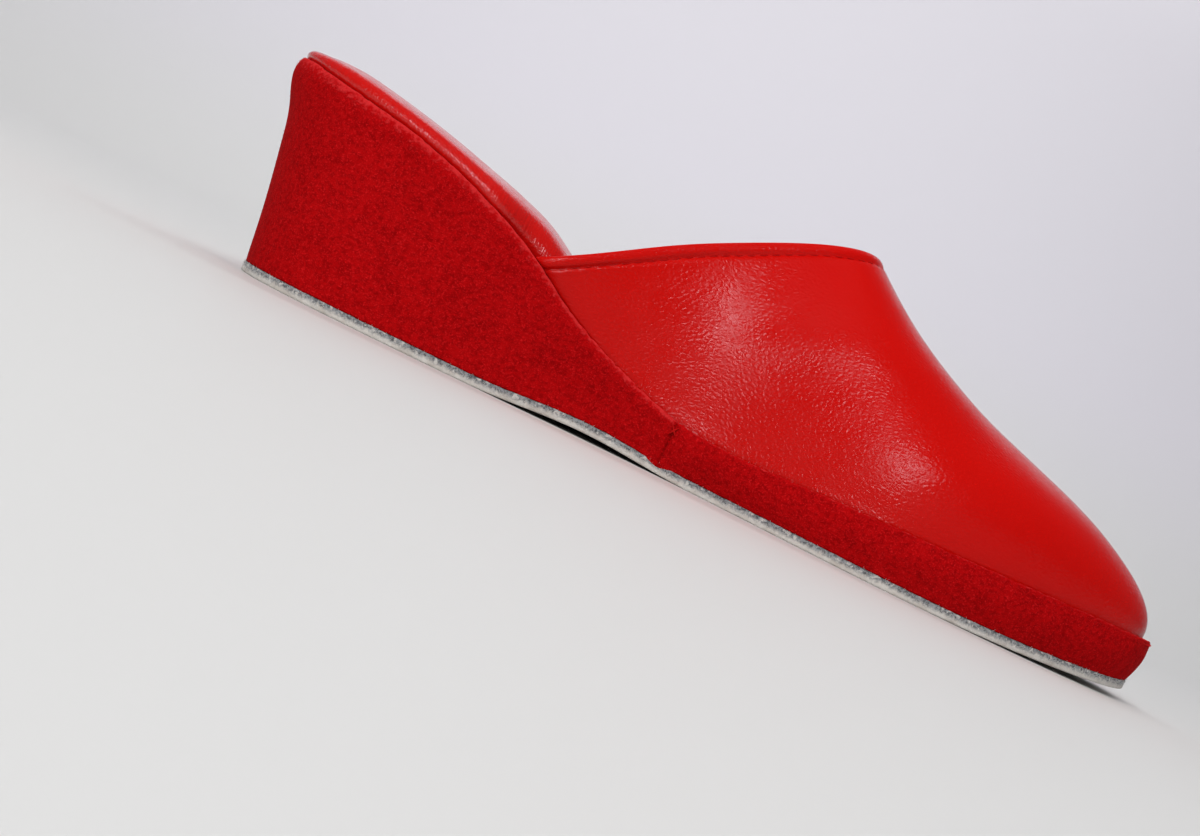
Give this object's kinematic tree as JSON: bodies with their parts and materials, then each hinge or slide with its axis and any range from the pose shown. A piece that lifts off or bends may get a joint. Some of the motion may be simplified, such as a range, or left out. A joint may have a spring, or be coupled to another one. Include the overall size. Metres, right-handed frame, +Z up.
{
  "type": "house slipper",
  "caption": "Backless women's house slipper, left foot: leather vamp with folded topline, padded sock, suede-covered wedge heel and platform, thin napped leather sole.",
  "frame": {"origin": "on the floor, under the middle of the slipper's bounding box", "axes": "+X towards the toe, +Y towards the outer side of the left foot, +Z up"},
  "size_m": [0.2552, 0.0924, 0.0718],
  "materials": {
    "napped_sole_leather": "matte",
    "cork": "matte",
    "suede": "matte",
    "smooth_leather": "satin",
    "padded_leather": "gloss"
  },
  "bodies": {
    "root": {"outsole": "napped_sole_leather", "wedge_block": "cork", "heel_cover": "suede", "platform_rand": "suede", "vamp": "smooth_leather", "padded_sock": "padded_leather"}
  },
  "joints": []
}
